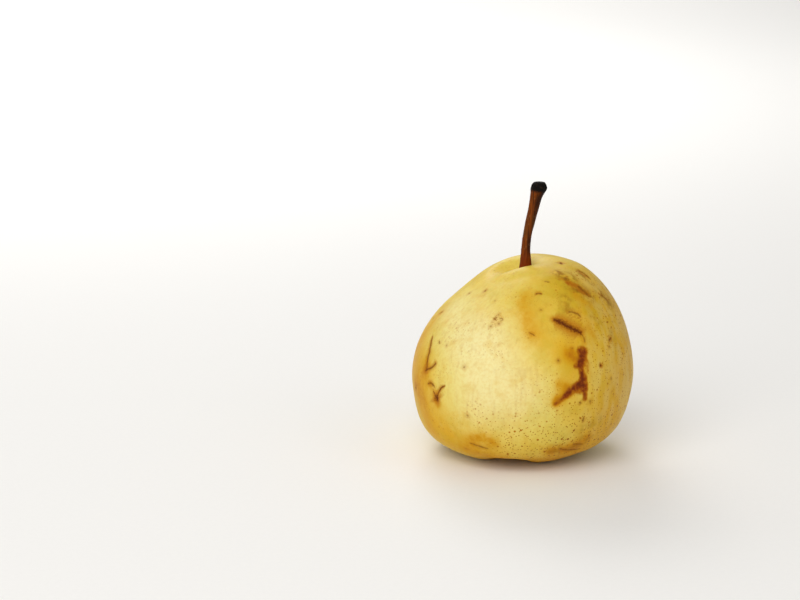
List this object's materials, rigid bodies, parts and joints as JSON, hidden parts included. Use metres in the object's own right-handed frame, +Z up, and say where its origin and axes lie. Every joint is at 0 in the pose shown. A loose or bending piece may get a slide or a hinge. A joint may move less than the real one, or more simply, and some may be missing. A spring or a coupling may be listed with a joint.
{
  "type": "asian pear",
  "caption": "Whole Asian pear standing on its calyx end, with a leaning woody stem beside one full shoulder and a lobed eye underneath.",
  "frame": {"origin": "on the surface that the pear stands on, at the middle of its outline", "axes": "+Z up along the stem; +X towards the full shoulder, which the stem leans over; -Y towards the front"},
  "size_m": [0.075, 0.0752, 0.0926],
  "materials": {
    "skin": "satin",
    "stem": "satin",
    "calyx": "matte"
  },
  "bodies": {
    "root": {"fruit": "skin", "stem": "stem", "calyx": "calyx"}
  },
  "joints": []
}
